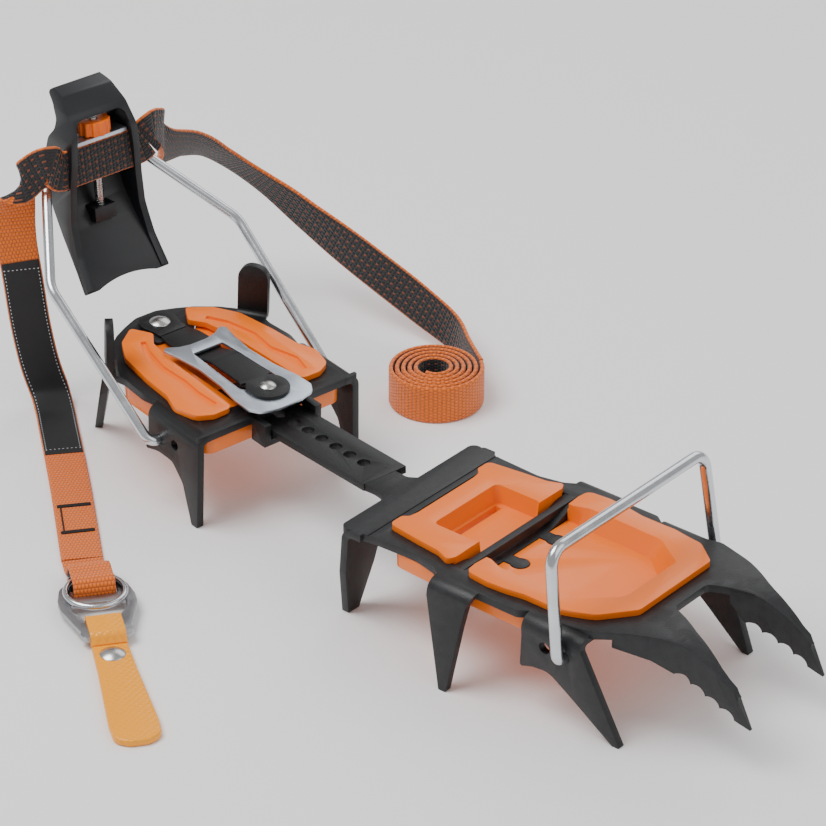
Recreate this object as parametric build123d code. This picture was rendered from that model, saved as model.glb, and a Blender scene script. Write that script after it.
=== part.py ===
"""Step-in crampon with wire toe bail, heel lever, linking bar and ankle strap.

Millimetres. The origin is the middle of the front frame's rear edge on the sole plane (the top
of the steel). +X points to the toes, +Y to the far side, +Z up. The rear half of the crampon is
modelled in its own frame, whose origin is the middle of its front edge, and then placed.
"""
from build123d import *
import os
from math import cos, hypot, pi, radians, sin, tan

os.makedirs("parts", exist_ok=True)

# ---------------------------------------------------------------- driving dimensions
STAND = 39.6             # sole plane above the ground
SHEET = 3.0              # frame steel
BEND = 5.0               # outer radius of every bend in the frame steel

FRAME_GAP = 76.0         # front frame's rear edge to rear frame's front edge, along the rear axis
REAR_YAW = -9.7          # the linking bar is kinked inwards by this much
REAR_PITCH = 3.2         # the heel end sits a little higher

REAR_EDGE_HALF = 39.0    # front frame, half widths
WAIST_HALF = 35.8
MID_HALF = 46.5
TOE_HALF = 43.5
MID_FLANGE_X = 56.5      # middle of the mid side points
TOE_RISE = 4.4           # the toe end of the front frame curves up
TIP_X = 172.4            # front point tips
TIP_Y = 22.0
TIP_Z = -22.2

REAR_HALF = 39.6         # rear frame, half widths and length
REAR_WAIST_HALF = 36.4
REAR_LENGTH = 84.3

BAR_HALF = 10.3          # linking bar
BAR_THICK = 3.0
BAR_KINK_X = -14.0
BAR_TAIL = 30.0
HOLE_PITCH = 8.22
HOLE_D = 5.0
PIN_D = 4.4
PIN_X = -7.3             # locking pin, in the rear frame's own frame

TOE_WIRE = 4.5
TOE_PIVOT_X = 106.6
TOE_PIVOT_Z = -9.4
TOE_BAIL_HEIGHT = 41.5
TOE_BAIL_HALF = 44.6
SPARE_PITCH = 8.8        # between a flange's wire hole and its spare hole
PIVOT_CLEAR = 0.08       # wire foot in its hole, on the radius

HEEL_WIRE = 4.0
HEEL_PIVOT_X = -23.6
HEEL_PIVOT_Z = -12.0
HEEL_REACH = 116.6       # pivot to the crossbar inside the lever
HEEL_ANGLE = 33.6        # bail plane above the rear frame
HEEL_SHOULDER = 73.0
HEEL_SHOULDER_HALF = 46.0
HEEL_FOOT_HALF = 44.2

LEVER_WALL = 3.0
LEVER_WEB = 2.5
SCREW_D = 3.6
WHEEL_D = 14.0
CREASE_X = 11.6          # pressed line between the bare rear strip and the plate
CREASE_WIDTH = 0.8
CREASE_DEEP = 0.3
NUT_TRAVEL = 4.0

WEB_WIDTH = 16.0         # webbing
WEB_THICK = 1.8
ROLL_D = 40.0
ROLL_CORE = 11.0
ROLL_X = -76.0
ROLL_Y = 108.0

RING_D = 24.4
RING_WIRE = 2.4

# ---------------------------------------------------------------- shared shapes


def rounded_wire(points, radii, closed=True):
    """Straight runs through space points, each corner rounded to its radius."""
    spots = [Vector(*p) for p in points]
    n = len(spots)
    corners = []
    for i, p in enumerate(spots):
        before, after = spots[i - 1] - p, spots[(i + 1) % n] - p
        half = radians(before.get_angle(after)) / 2
        ends = not closed and i in (0, n - 1)
        reach = 0 if ends or radii[i] == 0 or half > 1.565 else min(
            radii[i] / tan(half), 0.48 * before.length, 0.48 * after.length)
        if reach < 0.02:
            corners.append((p, None, p))
            continue
        inward = (before.normalized() + after.normalized()).normalized()
        middle = p + inward * (reach / cos(half) - reach * tan(half))
        corners.append((p + before.normalized() * reach, middle, p + after.normalized() * reach))
    edges = []
    for i, (start, middle, end) in enumerate(corners):
        if middle is not None:
            edges.append(Edge.make_three_point_arc(start, middle, end))
        if closed or i < n - 1:
            edges.append(Edge.make_line(end, corners[(i + 1) % n][0]))
    return Wire(edges)


def outline_face(points, radius, lift):
    """A flat face inside 2-D points; a point's third value is its own corner radius."""
    radii = [p[2] if len(p) > 2 else radius for p in points]
    return Face(rounded_wire([lift(p) for p in points], radii))


def slab(points, low, high, radius=0.0):
    """A plan outline (x, y) stood up between two heights."""
    return extrude(outline_face(points, radius, lambda p: (p[0], p[1], low)), high - low,
                   dir=(0, 0, 1))


def side_slab(points, low, high, radius=0.0):
    """A side outline (x, z) drawn out between two y values."""
    return extrude(outline_face(points, radius, lambda p: (p[0], low, p[1])), high - low,
                   dir=(0, 1, 0))


def front_slab(points, low, high, radius=0.0):
    """A front outline (y, z) drawn out between two x values."""
    return extrude(outline_face(points, radius, lambda p: (low, p[0], p[1])), high - low,
                   dir=(1, 0, 0))


def both_sides(points):
    """A half outline (y > 0) completed with its mirror image."""
    return points + [(p[0], -p[1], *p[2:]) for p in reversed(points)]


def block(x0, x1, y0, y1, z0, z1):
    """A box between two corners."""
    return Pos((x0 + x1) / 2, (y0 + y1) / 2, (z0 + z1) / 2) * Box(x1 - x0, y1 - y0, z1 - z0)


def flange(edge, lean, outline, drop=60.0, root=5.0, up=False):
    """Sheet bent down from an edge at y = edge, cut to a side outline (x, z).

    lean is the outward slope of the bent leaf, in degrees. up bends the leaf upwards.
    """
    a = radians(lean)
    cy, cz, inner = edge - BEND, -BEND, BEND - SHEET
    out = (cy + BEND * cos(a), cz + BEND * sin(a))
    end = (out[0] + drop * sin(a), out[1] - drop * cos(a))
    mid = radians((90 + lean) / 2)
    section = make_face(Wire([
        Line((0, cy - root, 0), (0, cy, 0)),
        ThreePointArc((0, cy, 0), (0, cy + BEND * cos(mid), cz + BEND * sin(mid)), (0, *out)),
        Line((0, *out), (0, *end)),
        Line((0, *end), (0, end[0] - SHEET * cos(a), end[1] - SHEET * sin(a))),
        Line((0, end[0] - SHEET * cos(a), end[1] - SHEET * sin(a)),
             (0, cy + inner * cos(a), cz + inner * sin(a))),
        ThreePointArc((0, cy + inner * cos(a), cz + inner * sin(a)),
                      (0, cy + inner * cos(mid), cz + inner * sin(mid)), (0, cy, -SHEET)),
        Line((0, cy, -SHEET), (0, cy - root, -SHEET)),
        Line((0, cy - root, -SHEET), (0, cy - root, 0))]))
    xs = [p[0] for p in outline]
    sheet = Pos(min(xs) - 1, 0, 0) * extrude(section, max(xs) - min(xs) + 2, dir=(1, 0, 0))
    if up:
        outline = [(p[0], -p[1] - SHEET, *p[2:]) for p in outline]
    leaf = sheet & side_slab(outline, edge - 40, edge + 40)
    return Pos(0, 0, -SHEET) * mirror(leaf, about=Plane.XY) if up else leaf


def pair(shape):
    """The shape and its mirror image across the middle plane."""
    return shape + mirror(shape, about=Plane.XZ)


def bent_wire(points, radii, diameter):
    """Round wire along the points, with a bend radius for each point (none at the ends)."""
    path = rounded_wire(points, radii, closed=False)
    start = Plane(origin=path @ 0, z_dir=path % 0)
    return sweep(start * Circle(diameter / 2), path=path)


def rivet(x, y, z, head, shank, length, dome=1.2):
    """A domed rivet with its head resting at height z."""
    crown = (head ** 2 / 4 + dome ** 2) / (2 * dome)
    ball = Pos(x, y, z + dome - crown) * Sphere(crown)
    top = ball & (Pos(x, y, z + dome / 2) * Box(head + 2, head + 2, dome))
    return top + Pos(x, y, z - length) * Cylinder(
        shank / 2, length + 0.01, align=(Align.CENTER, Align.CENTER, Align.MIN))


def ribbon(stations, width=WEB_WIDTH, thick=WEB_THICK):
    """Webbing through stations: each is a centre and the direction from lower to upper edge."""
    centres = [Vector(*c) for c, _ in stations]
    wires = []
    for i, (_, across) in enumerate(stations):
        ahead = centres[min(i + 1, len(centres) - 1)] - centres[max(i - 1, 0)]
        over = Vector(*across).normalized()
        face = over.cross(ahead).normalized()
        corners = [centres[i] + over * (sy * width / 2) + face * (sz * thick / 2)
                   for sy, sz in ((1, 1), (-1, 1), (-1, -1), (1, -1))]
        wires.append(Wire.make_polygon(corners, close=True))
    loft = Solid.make_loft(wires, True)
    return loft if loft.volume > 0 else Solid.make_loft(wires[::-1], True)


REAR = Rot(0, 0, REAR_YAW) * Pos(-FRAME_GAP, 0, 0) * Rot(0, REAR_PITCH, 0)

pieces = {}


def keep(name, shape, place=None):
    """Store a finished piece under its node name."""
    pieces[name] = place * shape if place is not None else shape


# ---------------------------------------------------------------- front frame

CREST = [(90, 0), (110, 1.5), (130, TOE_RISE), (144, TOE_RISE - 1.1), (158, -3.8), (168, -12)]
FIRST_TOOTH = (142.3, -9.2)
LAST_TOOTH = (166.0, -20.3)
TEETH = 5
TRAY = 9.2
GULLET = 1.7
DIP = 4.6
REAR_WINDOW = [(14.6, 26.5, 2), (30, 28.5, 3), (50, 32.8, 1)]
TOE_WINDOW = [(53, 33.6, 1), (66, 34.6, 4), (97, 32.6, 10), (110, 28, 5), (119, 17, 5)]


def toe_sheet(top=0.0, bottom=-SHEET):
    """A layer that follows the front frame's curved top, between two heights over it."""
    def edge(lift):
        return [Line((-12, 0, lift), (CREST[0][0], 0, lift)),
                Spline(*[(x, 0, z + lift) for x, z in CREST], tangents=[(1, 0, 0), (1, 0, -1)])]
    end_x, end_z = CREST[-1]
    face = make_face(Wire(edge(top) + edge(bottom) + [
        Line((-12, 0, top), (-12, 0, bottom)),
        Line((end_x, 0, end_z + top), (end_x, 0, end_z + bottom))]))
    return Pos(0, -60, 0) * extrude(face, 120, dir=(0, 1, 0))


def front_point(side_path, inner_path, top):
    """One upright wall of a front point, between two plan paths, with teeth below."""
    wall = slab(side_path + inner_path[::-1], -60, 20)
    lower = [LAST_TOOTH, FIRST_TOOTH]
    nose = [(158, -4.6), (165, -8.4), (TIP_X, TIP_Z)]
    wall &= side_slab(top + nose + lower + [(top[0][0] + 13, -5.2)] * (top[0][0] < 130)
                      + [(top[0][0], top[0][1] - 5.2)], 0, 60)
    step_x = (LAST_TOOTH[0] - FIRST_TOOTH[0]) / (TEETH - 1)
    step_z = (LAST_TOOTH[1] - FIRST_TOOTH[1]) / (TEETH - 1)
    chord = hypot(step_x, step_z)
    radius = (chord ** 2 / 4 + GULLET ** 2) / (2 * GULLET)
    for i in range(TEETH - 1):
        x = FIRST_TOOTH[0] + (i + 0.5) * step_x + step_z / chord * (radius - GULLET)
        z = FIRST_TOOTH[1] + (i + 0.5) * step_z - step_x / chord * (radius - GULLET)
        wall -= Pos(x, 30, z) * Rot(90, 0, 0) * Cylinder(radius, 60)
    return wall


def front_frame():
    """Stamped front frame: plate with two windows, six side points, two toothed front points."""
    shelf, toe_shelf = MID_HALF - BEND, TOE_HALF - BEND
    plan = both_sides([
        (-0.6, REAR_EDGE_HALF, 3), (14, REAR_EDGE_HALF - 2.3, 8), (33, WAIST_HALF, 12),
        (43, WAIST_HALF + 2.2, 8), (48.5, shelf, 3), (67, shelf, 2), (84, shelf, 3),
        (88, toe_shelf, 3), (115, toe_shelf, 6), (124, 34.6, 10), (133, 31.2, 20),
        (146, 25.4, 20), (158, 24.2, 6), (167, 23, 0), (167, 21, 0), (158, 20.2, 6),
        (144, 16.4, 10), (136, 12.6, 8), (129, 9.5, 2.5)])
    frame = toe_sheet() & slab(plan, -30, 30)
    frame -= slab(both_sides(REAR_WINDOW), -5, 2)
    frame -= slab(both_sides(TOE_WINDOW), -5, 6)
    dip = [(-35, 0), (-27, -0.6, 8), (-15, -DIP, 8)]
    ends = dip + [(-y, *rest) for y, *rest in dip[::-1]]
    under = [(p[0], p[1] - SHEET, *p[2:]) for p in ends[::-1]]
    frame += front_slab(ends + under, 48, 55.5)
    frame += pair(Pos(61, 10.5, -DIP - SHEET / 2) * Cylinder(3.4, SHEET)
                  + block(54, 61, 7.9, 13.1, -DIP - SHEET, -DIP))
    m = MID_FLANGE_X
    frame += pair(flange(MID_HALF, 9.0, [
        (m - 9.5, 1, 0), (m - 9.5, -6, 3), (m + 0.7, -STAND, 0.4), (m + 3.9, -STAND, 0.4),
        (m + 6.8, -14, 8), (m + 8.2, -5, 3), (m + 10.5, 1, 0)]))
    frame += pair(flange(TOE_HALF, -5.0, [
        (87.6, 1, 0), (87.6, -8, 3), (86.2, -22, 0.8), (92, -20, 5), (99, -19.2, 8),
        (110, -27, 30), (126.6, -STAND, 0.4), (129.8, -STAND, 0.4), (113.5, -4, 3),
        (113.5, 1, 0)]))
    heel_leaf = flange(0, 6.0, [(-39.2, 1, 0), (-38.4, -20, 5), (-34.5, -STAND, 0.5),
                                (-28.4, -STAND, 0.5), (-22, -22, 6), (-18.5, -8, 4),
                                (-16.5, 1, 0)], root=4.0)
    frame += pair(Pos(BEND - 4.4, 0, 0) * Rot(0, 0, 90) * heel_leaf)
    outer = [(121.5, 35.6), (133, 31.2), (146, 25.4), (158, 24.2), (TIP_X, TIP_Y + 0.7)]
    outer_in = [(121.5, 32.4), (133, 28.2), (146, 22.4), (158, 21.2), (TIP_X, TIP_Y - 0.7)]
    inner = [(137, 12.9), (146, 17.0), (158, 20.2), (TIP_X, TIP_Y - 0.7)]
    inner_in = [(137, 16.0), (146, 20.0), (158, 23.2), (TIP_X, TIP_Y + 0.7)]
    frame += pair(front_point(outer, outer_in, [(121.5, 2.4), (130, 3.8), (144, 2.8)]))
    frame += pair(front_point(inner, inner_in, [(137, 3.6), (144, 2.8)]))
    frame -= block(CREASE_X, CREASE_X + CREASE_WIDTH, -MID_HALF, MID_HALF, -CREASE_DEEP, 1)
    for dx in (0, -SPARE_PITCH):
        hole = TOE_WIRE / 2 + PIVOT_CLEAR
        frame -= Pos(TOE_PIVOT_X + dx, 0, TOE_PIVOT_Z) * Rot(90, 0, 0) * Cylinder(hole, 140)
    return frame


keep("front_frame", front_frame())


def dish(top, bottom, top_z, bottom_z, radius):
    """A tapered hollow between a larger upper plan outline and a smaller lower one."""
    wires = []
    for points, z in ((top, top_z), (bottom, bottom_z)):
        radii = [p[2] if len(p) > 2 else radius for p in points]
        wires.append(rounded_wire([(p[0], p[1], z) for p in points], radii))
    return Solid.make_loft(wires, True)


def front_plate():
    """Soft plate that sheds snow: a lip over each window, one deep tray below the steel."""
    fit = 0.3
    rear_lip = [(17.8, 16, 0), (17.2, 20, 2), (14.9, 22, 2), (14.9, 28.6, 2.5), (30, 30.6, 6),
                (40, 31.6, 4), (46.2, 34.2, 2), (47.7, 31, 0.6), (47.7, 12, 0)]
    toe_lip = [(57, 14, 0), (55.8, 30, 1), (56.4, 35.6, 3), (66, 36.6, 6), (74, 36, 8),
               (82, 34.6, 10), (97, 34.6, 10), (111, 31, 8), (122.4, 21, 3)]
    plate = toe_sheet(2.5, 0.1) & slab(both_sides(rear_lip), -1, 8)
    plate += toe_sheet(2.5, 0.1) & slab(both_sides(toe_lip), -1, 9)
    rear_neck = [(17.8, 25.9, 2), (30, 28.1, 3), (47.7, 32.0, 1)]
    toe_neck = [(55.8, 33.2, 1), (66, 34.2, 4), (97, 32.2, 10), (110, 27.6, 5), (118.4, 16.6, 5)]
    plate += toe_sheet(0.11, -3.31) & slab(both_sides(rear_neck), -6, 8)
    plate += toe_sheet(0.11, -3.31) & slab(both_sides(toe_neck), -6, 9)
    tray = [(19.4, 30, 4), (24, 35.4, 5), (40, 36.2, 10), (52, 38.5, 6), (84, 38.6, 6), (92, 34, 8),
            (106, 31, 12), (119.5, 20, 6)]
    plate += toe_sheet(-3.3, -TRAY) & slab(both_sides(tray), -20, 9)
    plate -= block(47.7, 55.8, -32.5, 32.5, -DIP - SHEET - fit, 5)
    plate -= pair(Pos(61, 10.5, 0) * Cylinder(3.8, 2 * (DIP + SHEET + fit))
                  + block(54, 61, 7.5, 13.5, -DIP - SHEET - fit, 5))
    plate -= dish(both_sides([(26.6, 18.6), (47.9, 18.6)]), both_sides([(28, 17.2), (47.9, 17.2)]),
                  5, -4.6, 2.0)
    plate -= dish(both_sides([(47.6, 26, 1), (47.9, 26.5, 0)]),
                  both_sides([(47.6, 25, 1), (47.9, 25.5, 0)]), 5, -4.6, 1.0)
    plate -= block(29.4, 32.4, -14.7, 14.7, -TRAY - 2, 0)
    bowl = [(55.6, 24, 2), (64, 27.6, 6), (84, 27.4, 10), (98, 27, 9), (112.5, 15.5, 5)]
    floor = [(55.6, 20, 2), (64, 23, 6), (84, 23, 10), (95, 22.5, 9), (107, 12, 5)]
    plate -= dish(both_sides(bowl), both_sides(floor), 5.4, -4.8, 4.0)
    plate -= block(52, 62, -24, 24, -4.8, 5)
    return plate


keep("front_antiball_plate", front_plate())


def foot_heads(x, y, z, wire):
    """Round peened heads on the two inner ends of a wire bail."""
    return pair(Pos(x, y, z) * Rot(90, 0, 0) * Cylinder(wire * 0.66, 1.2))


FOOT_IN = 38.2
FOOT_OUT = TOE_HALF + TOE_WIRE / 2 + 1.3
toe_bail = bent_wire(
    [(TOE_PIVOT_X, -FOOT_IN, TOE_PIVOT_Z), (TOE_PIVOT_X, -FOOT_OUT, TOE_PIVOT_Z),
     (TOE_PIVOT_X - 5.9, -TOE_BAIL_HALF, TOE_PIVOT_Z + TOE_BAIL_HEIGHT),
     (TOE_PIVOT_X - 5.9, TOE_BAIL_HALF, TOE_PIVOT_Z + TOE_BAIL_HEIGHT),
     (TOE_PIVOT_X, FOOT_OUT, TOE_PIVOT_Z), (TOE_PIVOT_X, FOOT_IN, TOE_PIVOT_Z)],
    [0, 3.0, 6.5, 6.5, 3.0, 0], TOE_WIRE)
keep("toe_bail", toe_bail + foot_heads(TOE_PIVOT_X, FOOT_IN - 0.5, TOE_PIVOT_Z, TOE_WIRE))

# ---------------------------------------------------------------- link bar

BAR_TOP = -SHEET - 0.3
FIRST_HOLE, LAST_HOLE = -2, 7
BAR_HEAD = 62.6
BAR_TIP = 4.2
BAR = REAR * Pos(0, 0, BAR_TOP) * Rot(0, -BAR_TIP, 0)


def link_bar():
    """Steel bar with a row of size holes, a waisted neck and a hooked head."""
    bar = BAR * slab(both_sides([(-BAR_TAIL, BAR_HALF, 4), (BAR_HEAD, BAR_HALF, 0)]),
                     -BAR_THICK, 0)
    for k in range(FIRST_HOLE, LAST_HOLE + 1):
        bar -= BAR * Pos(PIN_X + k * HOLE_PITCH, 0, 0) * Cylinder(HOLE_D / 2, 30)
    neck = slab(both_sides([(BAR_KINK_X - 3, 7.4, 0), (BAR_KINK_X + 3, 7.2, 2), (-7, 7.4, 3),
                            (-3.4, 11, 2), (4, 17.5, 4), (17.4, 17.5, 0)]), -20, 5)
    top = [(BAR_KINK_X - 3, -2.2), (-10, -2.4, 8), (-3, -3.5, 6), (14.9, -3.5, 0.4), (14.9, -0.3),
           (17.3, -0.3), (17.3, -6.5, 2), (-3, -6.5, 8), (-10, -5.4, 8), (BAR_KINK_X - 3, -5.2)]
    return bar + (neck & side_slab(top, -30, 30))


keep("link_bar", link_bar())

# ---------------------------------------------------------------- rear frame

HEEL_WINDOW = [(-10.2, 14, 2), (-10.2, 25, 3), (-13.4, 30.2, 4), (-21, 32.4, 4), (-29, 29.6, 6),
               (-43, 28.7, 10), (-58.5, 26.2, 6), (-67.5, 20.6, 4), (-71.6, 15, 2), (-64, 8.6, 3)]
HEEL_RIVET_X = -75.0


def rear_frame():
    """Stamped heel frame with side points, rear points, boot tabs and bar guides."""
    shelf = REAR_HALF - BEND
    plan = both_sides([
        (0, REAR_EDGE_HALF, 2), (-2, REAR_EDGE_HALF, 0), (-2, shelf, 0), (-31, shelf, 0),
        (-38, REAR_WAIST_HALF, 10), (-50.8, 35.5, 10), (-56, 37, 5), (-64, 34, 5), (-72, 27, 6),
        (-78, 19, 5), (-81.3, 12.5, 6), (-REAR_LENGTH, 5, 6)])
    frame = slab(plan, -SHEET, 0) - slab(both_sides(HEEL_WINDOW), -SHEET - 1, 1)
    side = flange(REAR_HALF, 1.0, [
        (0, 1, 0), (1.2, -STAND, 0.4), (-2.4, -STAND, 0.4), (-8.5, -24, 6), (-15.2, -17.6, 5),
        (-24, -17.4, 8), (-31.6, -19.6, 0.6), (-30.2, -12, 10), (-31, 1, 0)], root=1.8)
    frame += pair(side)
    heel_z = -STAND - 5.0
    point = flange(0, 9.0, [
        (-8, 1, 0), (-9, -8, 4), (-15.6, heel_z, 0.4), (-12.2, heel_z, 0.4), (1, -20, 8),
        (6.5, -6, 4), (8, 1, 0)], root=2.5)
    frame += pair(Pos(-71.8, 27.3, 0) * Rot(0, 0, 45.4) * Pos(0, 1.2, 0) * point)
    tab = flange(0, 0.0, [(-6.2, -1, 0), (-6.2, 21.5, 6), (6.2, 21.5, 6), (6.2, -1, 0)],
                 root=3.0, up=True)
    frame += pair(Pos(-60.6, 35.6, 0) * Rot(0, 0, 32.7) * Pos(0, 1.6, 0) * tab)
    guide_in, guide_out = BAR_HALF + 0.5, BAR_HALF + 0.5 + SHEET
    low = BAR_TOP - BAR_THICK - 0.4
    frame += pair(block(-3, 8.5, guide_in, guide_out, -SHEET, 0)
                  + block(0.5, 8.5, guide_in, guide_out, low - 2.6, 0)
                  + block(0.5, 8.5, 6, guide_out, low - 2.6, low))
    frame -= Pos(PIN_X, 0, 0) * Cylinder(PIN_D / 2 + 0.8, 12)
    frame -= Pos(HEEL_RIVET_X, 0, 0) * Cylinder(2.6, 12)
    for dx, dz in ((0, 0), (9.5, 2.2)):
        hole = HEEL_WIRE / 2 + PIVOT_CLEAR
        frame -= Pos(HEEL_PIVOT_X + dx, 0, HEEL_PIVOT_Z + dz) * Rot(90, 0, 0) * Cylinder(hole, 140)
    return frame


keep("rear_frame", rear_frame(), REAR)


def rear_plate():
    """Heel plate that sheds snow: two raised side lobes joined by a tray under the bar."""
    neck = [(-10.5, 14.2, 2), (-10.5, 25, 3), (-13.7, 29.9, 4), (-21, 32.1, 4), (-29, 29.3, 6),
            (-43, 28.4, 10), (-58.5, 25.9, 6), (-67.2, 20.4, 4), (-71.2, 15, 2), (-64, 9, 3)]
    lobe = [(-7.5, 17, 3), (-7.3, 26, 4), (-10.6, 32.3, 5), (-20.5, 35, 6), (-29, 32, 6),
            (-43, 31, 10), (-60, 28.4, 6), (-70, 22.5, 4), (-76.3, 13.6, 1.5), (-68, 8.6, 2),
            (-62, 13, 3), (-50, 15.2, 8)]
    plate = slab(both_sides(neck), -3.4, 0.11)
    plate -= block(-80, 0, -14.6, 14.6, -1.2, 5)
    plate += slab(both_sides([(-2.5, 33.6, 5), (-30, 33.9, 5), (-52, 33.9, 10), (-64, 26, 8)]),
                  -TRAY - 2, BAR_TOP)
    plate -= block(-BAR_TAIL - 14, 1, -BAR_HALF - 0.5, BAR_HALF + 0.5, -TRAY, 1)
    plate += pair(slab(lobe, 0.1, 2.4))
    ridge = [(-12, 23.5), (-21, 26, 5), (-33, 22.5, 5), (-45, 24, 6), (-58, 21, 6), (-66, 16.5)]
    inner = [(-13, 20), (-24, 20.5, 5), (-33, 19.5, 5), (-46, 20, 6), (-58, 17.6, 6), (-65, 14.6)]
    plate -= pair(slab(ridge + inner[::-1], 1.2, 5, 0.5))
    return plate


keep("rear_antiball_plate", rear_plate(), REAR)

# ---------------------------------------------------------------- size lock

SPRING = 1.2
SPRING_X = -66.0
PLATE_Z = 3.2

spring_root = slab(both_sides([(SPRING_X - 0.2, 6.5, 0), (-70, 6.8, 3), (-76, 8.2, 6),
                               (-82.6, 6, 5)]), 0.1, 0.1 + SPRING)
keep("spring_root", spring_root - Pos(HEEL_RIVET_X, 0, 0) * Cylinder(2.6, 12), REAR)
heel_rivet = rivet(HEEL_RIVET_X, 0, 0.15 + SPRING, 8.6, 5.0, 6.2, 1.4)
keep("heel_rivet", heel_rivet + Pos(HEEL_RIVET_X, 0, -SHEET - 0.7) * Cylinder(3.6, 1.2), REAR)


def lock_spring():
    """Leaf spring: under the plate's rear bridge, up through its window, over the front one."""
    lower = [(SPRING_X + 0.2, 0.1), (-55, 0.9, 20), (-43, 1.3, 12), (-34, 4.5, 12), (1.4, 4.5)]
    upper = [(p[0], p[1] + SPRING, *p[2:]) for p in lower[::-1]]
    plan = both_sides([(SPRING_X + 0.2, 6.5, 0), (-60, 8, 4), (-47, 8, 3), (-44, 6.3, 3),
                       (-17, 7.0, 4), (-14, 7.8, 2)])
    shape = slab(plan, -1, 9) + Pos(PIN_X, 0, 4) * Cylinder(8.6, 10)
    return (side_slab(lower + upper, -20, 20) & shape) - Pos(PIN_X, 0, 0) * Cylinder(
        PIN_D / 2 + 0.03, 30)


keep("lock_spring", lock_spring(), REAR)
lock_plate = slab(both_sides([
    (-50.4, 4, 6), (-51.6, 9, 6), (-54.4, 13.4, 1.4), (-52.6, 15.4, 1.4), (-45, 13.8, 6),
    (-34, 12.4, 14), (-20, 13.2, 14), (-8, 15.4, 5), (0, 15.6, 3), (4.6, 12.5, 4),
    (6.4, 6, 8)]), PLATE_Z, PLATE_Z + SPRING)
lock_plate -= slab(both_sides([(-44.4, 7.2, 0.8), (-11.4, 8.8, 3)]), 0, 9)
keep("lock_plate", lock_plate - Pos(PIN_X, 0, 0) * Cylinder(PIN_D / 2 + 0.03, 30), REAR)
pin_low = BAR_TOP - BAR_THICK + 0.1
locking_pin = rivet(PIN_X, 0, 4.5 + SPRING + 0.05, 6.6, PIN_D, 4.5 + SPRING - BAR_TOP - 1.0, 1.3)
locking_pin += Pos(PIN_X, 0, 1.7) * Cylinder(4.0, 2.9)
locking_pin += Pos(PIN_X, 0, (pin_low + BAR_TOP + 1.1) / 2) * Cone(
    PIN_D / 2 - 0.6, PIN_D / 2, BAR_TOP + 1.1 - pin_low)
keep("locking_pin", locking_pin, REAR)

# ---------------------------------------------------------------- heel bail and lever

bail_angle = radians(HEEL_ANGLE)


def on_bail(u, y):
    """A point u along the bail's slope and y across it."""
    return (HEEL_PIVOT_X - u * cos(bail_angle), y, HEEL_PIVOT_Z + u * sin(bail_angle))


half_bail = [on_bail(0, 34.6), on_bail(0, HEEL_FOOT_HALF), on_bail(HEEL_SHOULDER, HEEL_SHOULDER_HALF),
             on_bail(HEEL_REACH, 21.5)]
heel_bail = bent_wire([(x, -y, z) for x, y, z in half_bail] + half_bail[::-1],
                      [0, 4.0, 14.0, 5.0, 5.0, 14.0, 4.0, 0], HEEL_WIRE)
keep("heel_bail", heel_bail + foot_heads(HEEL_PIVOT_X, 35.2, HEEL_PIVOT_Z, HEEL_WIRE), REAR)

CROSS_X, _, CROSS_Z = on_bail(HEEL_REACH, 0)
SCREW_TILT = 8.0
SCREW_OFF = 4.4
tilted = Pos(CROSS_X, 0, CROSS_Z) * Rot(0, -SCREW_TILT, 0) * Pos(SCREW_OFF, 0, 0)
STRAP_OFF = 3.7
STRAP_LIFT = 4.0
LACE_Y = 18.2
BEARING = 12.4
SEAT = -16.4


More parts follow.
